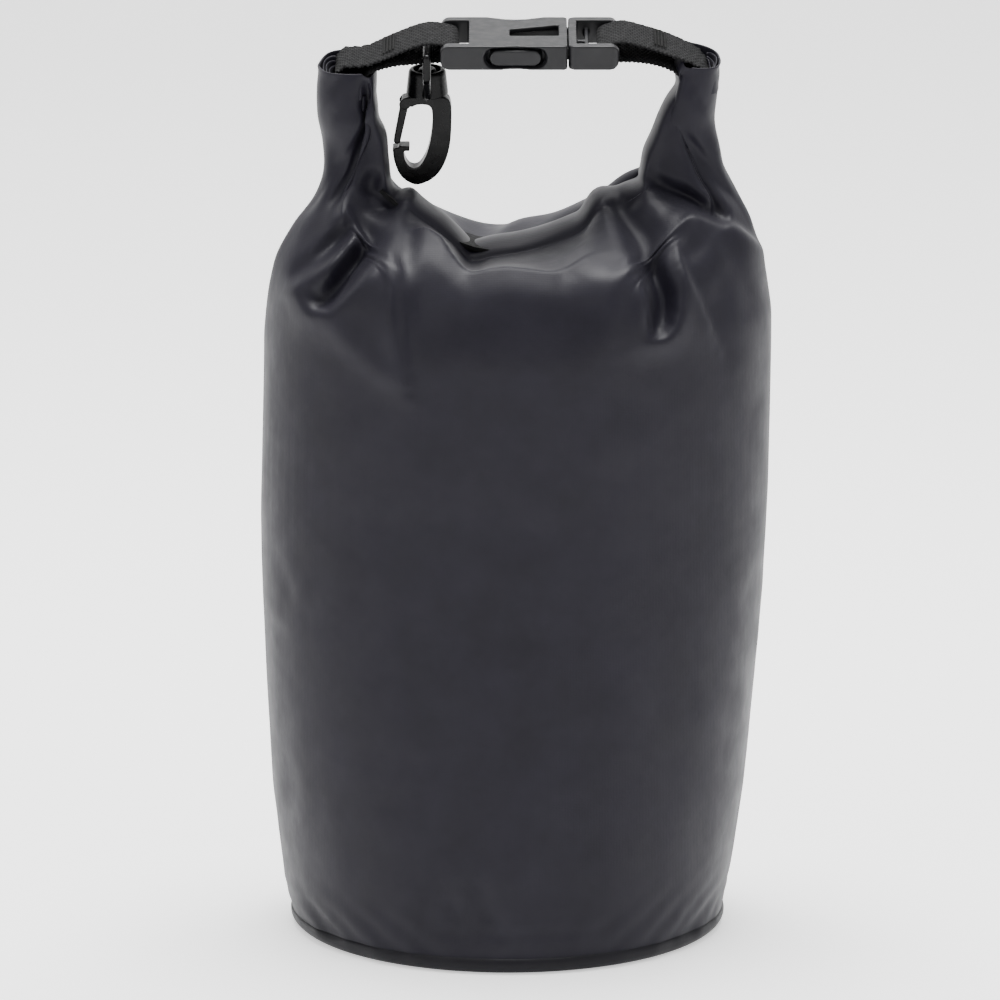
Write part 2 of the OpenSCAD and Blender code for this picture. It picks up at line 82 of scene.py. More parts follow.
# Edge of the skin along the roll, right tip to left tip: x, half depth, height
RIM = [
    (62.3, 0, 259), (61, 6, 259.5), (55.5, 9.3, 260.3), (50, 9, 260.3), (50, 8.8, 253), (46.6, 9, 245),
    (43.6, 9.5, 236.5), (41, 10, 230), (40, 10.3, 224), (36, 10.5, 219.8), (29, 11, 217.6), (24.6, 11, 214.4),
    (21.5, 11, 210.6), (13, 11, 206.8),
    (4, 11, 204.2), (-4, 11, 203), (-11, 11, 201.6), (-15, 11, 205.5), (-20.5, 11, 210.5), (-28, 11, 215.4),
    (-34.8, 10.5, 220.8), (-36.2, 10, 228), (-37.2, 9.8, 235), (-39.2, 9.5, 241.5), (-39.8, 9.3, 250),
    (-41, 9, 257.8), (-47, 9.3, 258.6), (-53, 7.5, 258.4), (-56, 0, 257.6),
]
TIP_TILT = 0.24     # rise of an open tip's rim towards the back


# ---------------------------------------------------------------- small maths

def ease(t):
    t = np.clip(t, 0, 1)
    return t * t * (3 - 2 * t)


def column(table, at, k=1):
    """Column k of a table whose first column is sorted, read at the given places."""
    rows = np.array(table, float)
    return np.interp(at, rows[:, 0], rows[:, k])


def spline(points, per_span=12):
    """Catmull-Rom curve through a short list of points."""
    p = np.asarray(points, float)
    out = []
    for i in range(len(p) - 1):
        p0, p1, p2, p3 = p[max(i - 1, 0)], p[i], p[i + 1], p[min(i + 2, len(p) - 1)]
        for t in np.arange(per_span) / per_span:
            out.append(0.5 * (2 * p1 + (p2 - p0) * t + (2 * p0 - 5 * p1 + 4 * p2 - p3) * t * t
                              + (3 * p1 - p0 - 3 * p2 + p3) * t ** 3))
    out.append(p[-1])
    return np.array(out)


def evenly(path, count):
    """The path again with count points at equal steps, and its length."""
    along = np.r_[0, np.cumsum(np.linalg.norm(np.diff(path, axis=0), axis=1))]
    at = np.linspace(0, along[-1], count)
    return np.stack([np.interp(at, along, path[:, k]) for k in range(path.shape[1])], 1), along[-1]


# ---------------------------------------------------------------- the skin as cloth

COLUMNS, ROWS, BODY_ROWS = 96, 64, 36       # the first, coarser grid; the second has twice as many
COARSE_STEPS, FINE_STEPS = 900, 520
PRESSURE, WEIGHT = 0.0022, 0.001
HELD_Z, HELD_FADE = 150, 45                 # the body's outline is held up to here, then let go


def rim_loop(columns):
    """The skin's upper edge: back half from the right tip to the left, then the front half."""
    half, _ = evenly(spline(RIM), columns // 2 + 1)
    front = half[::-1] * (1, -1, 1)
    loop = np.concatenate([half[:-1], front[:-1]])
    loop[:, 2] += TIP_TILT * loop[:, 1] * ease((loop[:, 2] - 240) / 16)
    return loop


def ring(z, columns):
    """The stuffed bag's outline at one height, as points at equal steps from its right side."""
    angle = np.linspace(0, 2 * math.pi, 241)
    wide = np.where(np.cos(angle) < 0, column(LEFT_SIDE, z), column(RIGHT_SIDE, z))
    outline = np.stack([wide * np.cos(angle), column(DEPTH, z) * np.sin(angle), np.full(angle.shape, z)], 1)
    return evenly(outline, columns + 1)[0][:-1]


def start_shape(columns, rows, body_rows):
    """First guess of the skin, and the fabric's height in each row and column."""
    top = rim_loop(columns)
    sides = np.array([ring(z, columns) for z in np.linspace(0, SHOULDER_Z, 63)])
    cut = int(round(62 * BODY_TOP_Z / SHOULDER_Z))
    shape = np.zeros((rows + 1, columns, 3))
    rest = np.zeros((rows, columns))
    for i in range(columns):
        side, rim = sides[:, i], top[i]
        end = side[-1]
        ca, sa = end[0] / HALF_WIDTH, end[1] / HALF_DEPTH
        horn = LEFT_HORN if ca < 0 else RIGHT_HORN
        middle = 1 - ease((abs(ca) - 0.2) / 0.35)
        dip = 5 if sa > 0 else 1.5
        brow = np.array([end[0] * 0.965, end[1] * 0.95, BROW_Z - dip * middle])
        shelf_z = SHELF_Z - (dip + 1.5) * middle
        shelf = np.array([end[0] * 0.88 + rim[0] * 0.12, end[1] * 0.62 + rim[1] * 0.38, shelf_z])
        raised = ease((rim[2] - BELOW_Z) / 14)
        xc, rx, ry = (column(horn, NECK_Z, k) for k in (1, 2, 3))
        neck = np.array([xc + ca * rx * 0.95, sa * ry * 0.95, NECK_Z])
        below = np.array([(brow[0] + neck[0]) * 0.51, (brow[1] + neck[1]) / 2, BELOW_Z])
        via = [shelf * (1 - raised) + below * raised] + ([neck] if raised > 0.5 else [])
        over = spline([side[-2], end, brow, *via, rim], 14)[14:]
        whole = np.concatenate([side[:-1], over])
        low, low_len = evenly(whole[:cut + 1], body_rows + 1)
        high, high_len = evenly(whole[cut:], rows - body_rows + 1)
        shape[:body_rows + 1, i] = low
        shape[body_rows:, i] = high
        rest[:body_rows, i] = low_len / body_rows
        taut = 1.01 - 0.035 * raised
        rest[body_rows:, i] = high_len / (rows - body_rows) * taut
    return shape, rest


def pull(a, b, wa, wb, rest, stretch, squeeze=None):
    """Moves both ends of every link towards its rest length; squeeze is the stiffness when shortened."""
    d = b - a
    length = np.sqrt((d * d).sum(-1))
    k = stretch if squeeze is None else np.where(length > rest, stretch, squeeze)
    d *= ((length - rest) / (length * (wa + wb) + 1e-9) * k)[..., None]
    a += wa[..., None] * d
    b -= wb[..., None] * d


def area_normals(x):
    across = np.roll(x, -1, 1) - np.roll(x, 1, 1)
    up = np.empty_like(x)
    up[1:-1] = x[2:] - x[:-2]
    up[0] = x[1] - x[0]
    up[-1] = x[-1] - x[-2]
    return np.cross(across, up) / 4


def unit_normals(x):
    n = area_normals(x)
    return n / (np.linalg.norm(n, axis=-1, keepdims=True) + 1e-9)


HORN_X, HORN_Z = 34, 192        # the horns' outline holds the fabric beyond and above this
GAP_X, GAP_Z = 15, 217          # and the carrying gap's edge holds it beyond and above this


def hold_horns(x):
    """Keeps the fabric above the shoulders inside the rolled ends' outline."""
    z = x[..., 2]
    for side, table in ((-1, LEFT_HORN), (1, RIGHT_HORN)):
        xc, rx, ry = (column(table, z, k) for k in (1, 2, 3))
        out = np.maximum(side * (x[..., 0] - xc), 0)
        reach = np.sqrt((out / rx) ** 2 + (x[..., 1] / ry) ** 2)
        over = (reach > 1) & (z > HORN_Z) & (side * x[..., 0] > HORN_X)
        scale = np.where(over, (1 + 1 / np.maximum(reach, 1e-6)) / 2, 1)
        x[..., 1] = np.where(over, x[..., 1] * scale, x[..., 1])
        x[..., 0] = np.where(over & (out > 0), xc + side * out * scale, x[..., 0])
        inner = column(LEFT_INNER if side < 0 else RIGHT_INNER, z)
        past = (side * (x[..., 0] - inner) < 0) & (z > GAP_Z) & (side * x[..., 0] > GAP_X)
        x[..., 0] = np.where(past, (x[..., 0] + inner) / 2, x[..., 0])


class Cloth:
    """A closed tube of fabric: rows upwards, columns around, its first and last rows held."""

    def __init__(self, x, rest):
        self.x = x.copy()
        self.last = x.copy()
        self.rows, self.columns = x.shape[0] - 1, x.shape[1]
        self.dx = 2 * math.pi * BASE_R * 1.02 / self.columns
        self.dy = rest
        self.free = np.ones(x.shape[:2])
        self.free[0] = 0
        self.free[-1] = 0

    def round_links(self, span, stretch, squeeze=None):
        for shift in (0, span):
            turned = np.roll(self.x, -shift, 1)
            v = turned.reshape(self.rows + 1, -1, 2 * span, 3)
            w = self.free.reshape(self.rows + 1, -1, 2 * span)
            pull(v[:, :, :span], v[:, :, span:], w[:, :, :span], w[:, :, span:],
                 span * self.dx, stretch, squeeze)
            self.x[:] = np.roll(turned, shift, 1)

    def upright_links(self, span, stretch, squeeze=None, slant=0):
        for shift in (0, span):
            n = (self.rows + 1 - shift) // (2 * span)
            v = self.x[shift:shift + 2 * span * n].reshape(n, 2 * span, self.columns, 3)
            w = self.free[shift:shift + 2 * span * n].reshape(n, 2 * span, self.columns)
            sums = np.cumsum(np.vstack([np.zeros((1, self.columns)), self.dy]), axis=0)
            low = shift + (np.arange(n) * 2 * span)[:, None] + np.arange(span)[None, :]
            rest = sums[low + span] - sums[low]
            far = v[:, span:]
            if slant:
                rest = np.hypot(rest, self.dx)
                far = np.roll(far, slant, 2)
            pull(v[:, :span], far, w[:, :span], w[:, span:], rest, stretch, squeeze)
            if slant:
                v[:, span:] = np.roll(far, -slant, 2)

    def step(self, keep, target, hold, bend, wide_bend):
        """One step: keep is the share of speed kept, hold the pull towards target."""
        velocity = (self.x - self.last) * keep
        self.last[:] = self.x
        rows = np.vstack([self.dy[:1], self.dy])
        force = area_normals(self.x) * PRESSURE / (self.dx * rows[..., None])
        force[..., 2] -= WEIGHT
        self.x += (velocity + force) * self.free[..., None]
        self.x += (target - self.x) * hold
        self.round_links(1, 0.95, 0.6)
        self.upright_links(1, 0.95, 0.6)
        self.upright_links(1, 0.25, slant=1)
        self.upright_links(1, 0.25, slant=-1)
        self.round_links(2, bend)
        self.upright_links(2, bend)
        self.round_links(4, wide_bend)
        self.upright_links(4, wide_bend)
        rim = self.x[-1].copy()
        hold_horns(self.x)
        self.x[-1] = rim
        np.maximum(self.x[..., 2], 0.6, out=self.x[..., 2])


def finer(x):
    """The same tube with twice the rows and columns."""
    rows, columns = x.shape[0] - 1, x.shape[1]
    tall = np.empty((2 * rows + 1, columns, 3))
    tall[0::2] = x
    tall[1::2] = (x[1:] + x[:-1]) / 2
    out = np.empty((2 * rows + 1, 2 * columns, 3))
    out[:, 0::2] = tall
    out[:, 1::2] = (tall + np.roll(tall, -1, 1)) / 2
    return out


LINE_POINTS = 14        # points of a fold's line after smoothing


def fold_line(path):
    """A fold's line through a short list of places, at equal steps."""
    return evenly(spline(path, 6), LINE_POINTS)[0]


def distance_to(path, x, z):
    """Distance in the XZ plane from each place to a polyline, and how far along it (0 to 1) that is."""
    best = np.full(x.shape, 1e9)
    along = np.zeros(x.shape)
    total = len(path) - 1
    for i in range(total):
        (ax, az), (bx, bz) = path[i], path[i + 1]
        dx, dz = bx - ax, bz - az
        t = np.clip(((x - ax) * dx + (z - az) * dz) / (dx * dx + dz * dz), 0, 1)
        d = np.hypot(x - ax - t * dx, z - az - t * dz)
        nearer = d < best
        best = np.where(nearer, d, best)
        along = np.where(nearer, (i + t) / total, along)
    return best, along


def press(x, path, width, depth, front=True):
    """Pushes the fabric in along a line seen from the front, or out where depth is negative."""
    d, along = distance_to(fold_line(path), x[..., 0], x[..., 2])
    amount = depth * np.exp(-(d / width) ** 2) * np.sin(math.pi * (0.08 + 0.84 * along)) ** 0.6
    facing = -x[..., 1] if front else x[..., 1]
    amount = amount * ease((facing + 2) / 8)
    x -= unit_normals(x) * amount[..., None]


def lap(x, path, height, reach):
    """A fold whose edge overlaps: proud on one side of the line, sunk just past it on the other."""
    line = fold_line(path)
    d, along = distance_to(line, x[..., 0], x[..., 2])
    last = LINE_POINTS - 1
    nearest = np.clip((along * last).astype(int), 0, last - 1)
    start = line[nearest]
    ahead = line[nearest + 1] - start
    across = ahead[..., 0] * (x[..., 2] - start[..., 1]) - ahead[..., 1] * (x[..., 0] - start[..., 0])
    signed = -np.sign(across) * d
    proud = np.exp(-(np.maximum(signed, 0) / reach) ** 2) * ease((signed + 0.9) / 1.8)
    sunk = np.exp(-((signed + 1.2) / (0.35 * reach)) ** 2) * (signed < 1.2)
    amount = height * (proud - 0.55 * sunk) * np.sin(math.pi * (0.06 + 0.88 * along)) ** 0.7
    amount = amount * ease((-x[..., 1] + 2) / 8)
    x += unit_normals(x) * amount[..., None]


def solve_skin():
    shape, rest = start_shape(COLUMNS, ROWS, BODY_ROWS)
    cloth = Cloth(shape, rest)
    hold = 0.03 * (1 - ease((shape[..., 2:3] - HELD_Z) / HELD_FADE))
    steps = COARSE_STEPS
    for i in range(steps):
        cloth.step(0.985 if i < steps * 0.8 else 0.95, shape, hold, 0.03, 0.02)
    fine = finer(cloth.x)
    fine[-1] = rim_loop(2 * COLUMNS)
    target = finer(shape)
    rest2 = np.repeat(np.repeat(rest, 2, 0) / 2, 2, 1)
    cloth = Cloth(fine, rest2)
    hold = 0.015 * (1 - ease((target[..., 2:3] - HELD_Z) / HELD_FADE))
    steps = FINE_STEPS
    for i in range(steps):
        cloth.step(0.985 if i < steps * 0.8 else 0.93, target, hold, 0.04, 0.03)
    return cloth.x


# ---------------------------------------------------------------- materials

def node_material(name, colour, roughness, **sockets):
    """A Principled material; sockets are constants on the shader itself."""
    material = bpy.data.materials.new(name)
    material.use_nodes = True
    shader = material.node_tree.nodes["Principled BSDF"]
    shader.inputs["Base Color"].default_value = (*colour, 1)
    shader.inputs["Roughness"].default_value = roughness
    for socket, value in sockets.items():
        shader.inputs[socket.replace("_", " ")].default_value = value
    return material


def add(material, kind, **values):
    node = material.node_tree.nodes.new(kind)
    for key, value in values.items():
        if key in node.inputs:
            node.inputs[key].default_value = value
        else:
            setattr(node, key, value)
    return node


def link(material, a, out, b, into):
    material.node_tree.links.new(a.outputs[out], b.inputs[into])


def ramp(material, source, out, low, high, dark, light):
    """Map Range from one texture output, low..high to dark..light."""
    node = add(material, "ShaderNodeMapRange")
    for key, value in (("From Min", low), ("From Max", high), ("To Min", dark), ("To Max", light)):
        node.inputs[key].default_value = value
    link(material, source, out, node, "Value")
    return node


def vary_colour(material, coords, out, dark, light, scale, detail=4.0):
    """Slow mottling of the base colour between two tones."""
    noise = add(material, "ShaderNodeTexNoise", Scale=scale, Detail=detail, Roughness=0.6)
    link(material, coords, out, noise, "Vector")
    mix = add(material, "ShaderNodeMix", data_type="RGBA")
    mix.inputs[6].default_value = (*dark, 1)
    mix.inputs[7].default_value = (*light, 1)
    ramped = ramp(material, noise, "Fac", 0.3, 0.7, 0, 1)
    link(material, ramped, "Result", mix, "Factor")
    shader = material.node_tree.nodes["Principled BSDF"]
    material.node_tree.links.new(mix.outputs[2], shader.inputs["Base Color"])


def vary_roughness(material, coords, out, low, high, scale):
    noise = add(material, "ShaderNodeTexNoise", Scale=scale, Detail=3.0)
    link(material, coords, out, noise, "Vector")
    ramped = ramp(material, noise, "Fac", 0.3, 0.7, low, high)
    link(material, ramped, "Result", material.node_tree.nodes["Principled BSDF"], "Roughness")


def stack_bumps(material, heights):
    """Chains bump nodes: (node, output, strength, distance in metres)."""
    last = None
    for node, out, strength, distance in heights:
        bump = add(material, "ShaderNodeBump", Strength=strength, Distance=distance)
        link(material, node, out, bump, "Height")
        if last:
            link(material, last, "Normal", bump, "Normal")
        last = bump
    link(material, last, "Normal", material.node_tree.nodes["Principled BSDF"], "Normal")


def coated_fabric(name, dark, light, roughness):
    """Thin coated nylon: a fine plain weave under a satin face, with soft mottling."""
    material = node_material(name, light, roughness,
                             Specular_IOR_Level=0.17, Sheen_Weight=0.02, Sheen_Roughness=0.45)
    coords = add(material, "ShaderNodeTexCoord")
    vary_colour(material, coords, "Object", dark, light, 55.0)
    vary_roughness(material, coords, "Object", roughness - 0.05, roughness + 0.06, 90.0)
    weft = add(material, "ShaderNodeTexWave", Scale=700.0, Distortion=0.6, Detail=1.0)
    weft.inputs["Detail Scale"].default_value = 3.0
    warp = add(material, "ShaderNodeTexWave", Scale=700.0, Distortion=0.6, Detail=1.0)
    weft.bands_direction = "X"
    warp.bands_direction = "Z"
    for wave in (weft, warp):
        link(material, coords, "Object", wave, "Vector")
    crinkle = add(material, "ShaderNodeTexNoise", Scale=420.0, Detail=5.0, Roughness=0.55)
    soft = add(material, "ShaderNodeTexNoise", Scale=60.0, Detail=2.0)
    link(material, coords, "Object", crinkle, "Vector")
    link(material, coords, "Object", soft, "Vector")
    stack_bumps(material, [
        (soft, "Fac", 0.35, 0.0012), (crinkle, "Fac", 0.22, 0.0002),
        (weft, "Fac", 0.10, 0.00006), (warp, "Fac", 0.10, 0.00006),
    ])
    return material


def woven(name, dark, light):
    """Matt webbing or thread: fibre noise over the ribs that the mesh has."""
    material = node_material(name, light, 0.86,
                             Specular_IOR_Level=0.14, Sheen_Weight=0.02, Sheen_Roughness=0.5)
    coords = add(material, "ShaderNodeTexCoord")
    vary_colour(material, coords, "Object", dark, light, 900.0, 5.0)
    vary_roughness(material, coords, "Object", 0.74, 0.92, 500.0)
    fibre = add(material, "ShaderNodeTexNoise", Scale=3200.0, Detail=4.0, Roughness=0.7)
    link(material, coords, "Object", fibre, "Vector")
    stack_bumps(material, [(fibre, "Fac", 0.5, 0.00012)])
    return material


def moulded(name, dark, light, roughness, grain, shine=0.4):
    """Moulded plastic with a very fine spark-eroded texture and slight wear of the gloss."""
    material = node_material(name, light, roughness, Specular_IOR_Level=shine)
    coords = add(material, "ShaderNodeTexCoord")
    vary_colour(material, coords, "Object", dark, light, 260.0)
    vary_roughness(material, coords, "Object", roughness - 0.06, roughness + 0.08, 320.0)
    fine = add(material, "ShaderNodeTexNoise", Scale=4200.0, Detail=3.0, Roughness=0.6)
    flow = add(material, "ShaderNodeTexNoise", Scale=170.0, Detail=1.0)
    link(material, coords, "Object", fine, "Vector")
    link(material, coords, "Object", flow, "Vector")
    stack_bumps(material, [(flow, "Fac", 0.12, 0.0006), (fine, "Fac", grain, 0.00004)])
    return material


FABRIC = coated_fabric("coated_nylon", (0.0062, 0.0055, 0.0096), (0.0094, 0.0085, 0.0138), 0.48)
BASE_FABRIC = coated_fabric("coated_nylon_base", (0.0035, 0.0032, 0.0050), (0.0052, 0.0048, 0.0072), 0.5)
TAPE = moulded("sealing_tape", (0.05, 0.05, 0.055), (0.07, 0.07, 0.075), 0.4, 0.2)
WEBBING = woven("woven_webbing", (0.0015, 0.0015, 0.0017), (0.0062, 0.0062, 0.0067))
THREAD = woven("sewing_thread", (0.004, 0.004, 0.004), (0.012, 0.012, 0.012))
BUCKLE = moulded("buckle_acetal", (0.0055, 0.0055, 0.0066), (0.0078, 0.0078, 0.0092), 0.38, 0.3, 0.26)
HOOK = moulded("hook_acetal", (0.0012, 0.0012, 0.0014), (0.0022, 0.0022, 0.0025), 0.28, 0.12, 0.14)


# ---------------------------------------------------------------- mesh helpers

def mesh_piece(name, verts_mm, faces, material):
    """A mesh object from millimetre points, with its material."""
    mesh = bpy.data.meshes.new(name)
    mesh.from_pydata((np.asarray(verts_mm) * MM).tolist(), [], [list(map(int, f)) for f in faces])
    mesh.validate()
    mesh.polygons.foreach_set("use_smooth", [True] * len(mesh.polygons))
    piece = bpy.data.objects.new(name, mesh)
    bpy.context.scene.collection.objects.link(piece)
    mesh.materials.append(material)
    return piece


def grid_faces(rows, columns, closed, first=0):
    """Quads of a grid of rows by columns points, closed round the columns or open."""
    index = first + np.arange(rows * columns).reshape(rows, columns)
    right = np.roll(index, -1, 1)
    low, low_right, up, up_right = index[:-1], right[:-1], index[1:], right[1:]
    if not closed:
        low, low_right, up, up_right = (a[:, :-1] for a in (low, low_right, up, up_right))
    return np.stack([low, low_right, up_right, up], -1).reshape(-1, 4)


def subdivide(piece):
    modifier = piece.modifiers.new("subdivision", "SUBSURF")
    modifier.levels = 1
    modifier.render_levels = 1


def thicken(piece, thickness_mm):
    modifier = piece.modifiers.new("thickness", "SOLIDIFY")
    modifier.thickness = thickness_mm * MM
    modifier.offset = 0


HANDLE_LEAN = math.radians(10)
HANDLE_Z = 264.3        # height of the buckle's middle


def handle_point(p):
    """A point of the handle's leaning frame, whose origin is the buckle's middle, in millimetres."""
    x, y, z = (np.asarray(p, float)[..., k] for k in range(3))
    cos, sin = math.cos(HANDLE_LEAN), math.sin(HANDLE_LEAN)
    return np.stack([x, y * cos - z * sin, HANDLE_Z + y * sin + z * cos], -1)


def tube(path, radius, sides):
    """Points and faces of a round tube along a path, with closed ends."""
    path = np.asarray(path, float)
    tangent = np.gradient(path, axis=0)
    tangent /= np.linalg.norm(tangent, axis=1, keepdims=True)
    up = np.array([0.12, 0.07, 1.0])
    side = np.cross(tangent, up)
    side /= np.linalg.norm(side, axis=1, keepdims=True)
    over = np.cross(side, tangent)
    a = (2 * math.pi * np.arange(sides) / sides)[None, :, None]
    points = path[:, None] + radius * (side[:, None] * np.cos(a) + over[:, None] * np.sin(a))
    faces = grid_faces(len(path), sides, True).tolist()
    last = (len(path) - 1) * sides
    faces.append(list(range(sides))[::-1])
    faces.append(list(range(last, last + sides)))
    return points.reshape(-1, 3), faces


# ---------------------------------------------------------------- the bag's fabric

# Overlapping folds seen from the front: path in the XZ plane, height, reach. The side to the right of
# the path's direction stands proud, or is sunk where the height is negative.
FRONT_LAPS = [
    ([(-55.6, 201.5), (-58.4, 197.5), (-58, 193.5), (-54.5, 191.3), (-50, 195.5), (-45, 203.9),
      (-37.7, 212.3), (-30.5, 222.5)], 2.4, 7.0),
    ([(-29.6, 212), (-31.7, 197.6), (-28.8, 171)], 1.8, 5.0),
    ([(-50, 231), (-45, 240), (-41, 248)], 1.0, 3.0),
    ([(-51.5, 229), (-47, 234.5), (-42, 243)], -0.9, 2.4),
    ([(27, 218.5), (33, 214), (39.2, 203.8), (40.2, 195.9), (41, 188.5), (43, 184.8), (46.3, 188),
      (48.4, 193.8), (49, 202.7), (46.5, 213)], 2.2, 6.0),
    ([(25, 215), (30, 223), (36, 226), (46, 222.5), (65, 213)], 2.0, 7.0),
    ([(62, 216), (69, 211), (77, 202)], 1.4, 6.0),
    ([(62, 180), (59.7, 186.6), (54.8, 198.7), (49.5, 210)], -1.2, 5.0),
    ([(50.5, 257), (54, 250), (59, 243)], 1.0, 3.0),
    ([(48.5, 248), (53, 239), (59, 230)], -0.9, 3.0),
]
# Soft hollows and ridges: path, width, depth (negative stands out)
FRONT_CREASES = [
    ([(-41, 238), (-40, 222), (-50, 210), (-62, 199.5)], 3.0, 1.6),
    ([(-36, 232), (-35, 221), (-48, 208.5), (-64, 194)], 2.4, -1.3),
    ([(-52, 236), (-49, 224), (-58, 210), (-67, 197)], 3.2, 1.0),
    ([(-54, 190), (-42, 180), (-30, 170.5)], 4.0, -1.0),
    ([(31, 200), (30, 188), (29, 178)], 8.0, -0.7),
    ([(44, 232), (46, 221), (52, 208), (57, 192)], 2.8, 1.1),
    ([(54, 236), (57, 222), (66, 206), (71, 190)], 3.2, 0.9),
    ([(63, 200), (61, 190), (63, 176)], 3.6, 1.0),
]
# Deep folds that run into the bag below the horns: path, width, depth
TUCKS = [
    ([(-34, 222), (-37.7, 214.5), (-43.4, 206.5), (-49, 199.8), (-53, 195)], 2.9, 8.0),
    ([(-40, 226), (-42, 218), (-50, 210), (-61, 200)], 2.2, 4.0),
    ([(33, 219), (38.5, 211), (42.5, 203), (44.2, 196), (43.3, 188.5)], 2.9, 8.0),
    ([(44, 224.5), (53, 221), (63, 215.5)], 1.9, 4.0),
]
# Hollows and ridges of the back, which are guessed
BACK_CREASES = [
    ([(-40.5, 250), (-46, 240), (-52, 232)], 1.7, 0.8),
    ([(49, 250), (54, 241), (59, 232)], 1.7, 0.8),
    ([(-38.5, 240), (-45, 229), (-51, 221)], 1.7, -0.7),
    ([(-36, 214), (-45, 202), (-56, 190)], 3.5, 1.5),
    ([(-30, 212), (-32, 192), (-28, 172)], 3.5, -1.2),
    ([(38, 214), (46, 202), (55, 188)], 3.5, 1.5),
    ([(33, 212), (36, 192), (38, 172)], 3.5, -1.2),
]
# Dents and puckers above the base, where the load inside pushes the fabric
BASE_CREASES = [
    ([(-61, 15), (-54, 7), (-42, 1)], 2.2, 0.9),
    ([(62, 12), (56, 7), (47, 2)], 2.2, 0.9),
    ([(-29, 8), (-21, 27)], 2.6, -0.7),
    ([(-20, 27), (-14, 14)], 2.4, 0.6),
    ([(-13, 13), (-9, 26)], 2.4, -0.6),
    ([(-8, 25), (0, 7)], 2.4, 0.6),
    ([(20, 6), (28, 22)], 3.0, -0.4),
    ([(-70, 118), (-64, 104), (-67, 93)], 2.4, 0.5),
    ([(-71, 101), (-66, 96), (-60, 108)], 2.4, -0.5),
    ([(76, 112), (71, 103), (73, 92)], 2.6, 0.45),
    ([(68, 88), (73, 76), (72, 62)], 3.0, 0.5),
    ([(-68, 60), (-64, 46), (-66, 34)], 3.0, 0.6),
]


# Fold along the front edge of the fabric's flat top: x, distance forward, height
BROW = [
    (-31, 21, 215.5), (-24, 25, 214.6), (-19, 29, 212.6), (-15.8, 34, 208.3), (-12.6, 38, 204.7),
    (-10, 40, 203.8), (-6, 40, 205.1), (-1, 40, 205.7), (5, 40, 205.1), (12, 40, 204), (16, 38, 204.4),
    (20, 36, 206.6), (26, 32, 210), (32, 28, 213),
]
BROW_START_Z = 172.0
PLAIN_SHARE = 0.94      # how far the front gives up its solved puckers for the plain start shape
PLAIN_FROM_Z = 150
CALM_ROUNDS, CALM_TOP_Z = 60, 236


def calm(x, rounds, low, high):
    """Evens out small puckers between two heights without shrinking the shape."""
    z = x[..., 2:3]
    weight = ease((z - low) / 12) * (1 - ease((z - high) / 10))
    for _ in range(rounds):
        for share in (0.5, -0.52):
            mean = (np.roll(x, 1, 1) + np.roll(x, -1, 1)) / 4
            mean[1:-1] += (x[2:] + x[:-2]) / 4
            mean[0] = x[0]
            mean[-1] = x[-1]
            x += (mean - x) * share * weight


def lay_top(x):
    """Lays the fabric between the roll and the front wall as a flat top with a crisp front fold."""
    rows, columns = x.shape[0] - 1, x.shape[1]
    for i in range(columns // 2 + 1, columns):
        rim = x[-1, i]
        if rim[2] > 232:
            continue
        first = int(np.argmax(x[:, i, 2] > BROW_START_Z))
        foot = x[first, i]
        across = foot[0] * 0.4 + rim[0] * 0.6
        weight = ease((across + 32) / 8) * (1 - ease((across - 20) / 10))
        if weight == 0:
            continue
        forward, top = (column(BROW, across, k) for k in (1, 2))
        fold = np.array([-forward, top])
        below, foot, end = x[first - 5, i, 1:], foot[1:], rim[1:]
        rise = fold - foot
        wall = spline([below, foot, foot + rise * (0.08, 0.36), foot + rise * (0.42, 0.76), fold], 16)[16:]
        shelf = spline([fold, (fold + end) / 2 - (0, 0.9), end], 16)
        laid, _ = evenly(np.concatenate([wall, shelf[1:]]), rows + 1 - first)
        share = np.linspace(0, 1, rows + 1 - first)
        laid = np.column_stack([x[first, i, 0] * (1 - share) + rim[0] * share, laid])
        start = weight * ease(share * 6)[:, None]
        x[first:, i] = x[first:, i] * (1 - start) + laid * start


def tuck(x, path, width, depth):
    """A deep steep-sided fold running into the bag along a line seen from the front."""
    d, along = distance_to(fold_line(path), x[..., 0], x[..., 2])
    amount = depth * np.exp(-(d / width) ** 3) * np.sin(math.pi * (0.05 + 0.9 * along)) ** 0.5
    x += (amount * ease((-x[..., 1] + 1) / 6))[..., None] * (0, 0.92, -0.4)


def solved_skin():
    """The skin in millimetres: solved, evened out where folds tangle, then folded as a stuffed bag is."""
    x = solve_skin()
    plain, _ = start_shape(2 * COLUMNS, 2 * ROWS, 2 * BODY_ROWS)
    z = plain[..., 2:3]
    share = ease((z - PLAIN_FROM_Z) / 20) * (1 - 0.35 * ease((z - 216) / 12) - 0.65 * ease((z - 232) / 12))
    x += (plain - x) * share * ease((4 - plain[..., 1:2]) / 9) * PLAIN_SHARE
    calm(x, CALM_ROUNDS, PLAIN_FROM_Z, CALM_TOP_Z)
    lay_top(x)
    for path, height, reach in FRONT_LAPS:
        lap(x, path, height, reach)
    for path, width, depth in FRONT_CREASES + BASE_CREASES:
        press(x, path, width, depth)
    for path, width, depth in TUCKS:
        tuck(x, path, width, depth)
    for path, width, depth in BACK_CREASES:
        press(x, path, width, depth, front=False)
    return x


EXTRA_ROWS = 16                 # rows beyond the rim: the wrap over the roll, or the hem inside a tip
WRAP_TURN = 215                 # degrees the wrap goes round the roll
RIGHT_TIP, LEFT_TIP = 16.5, 21.5    # length of rim at each end of the roll that belongs to an open tip
HEM_ROWS, HEM_DROP = 5, 3.5     # rows of a tip's turned edge, and how far each such number of rows drops


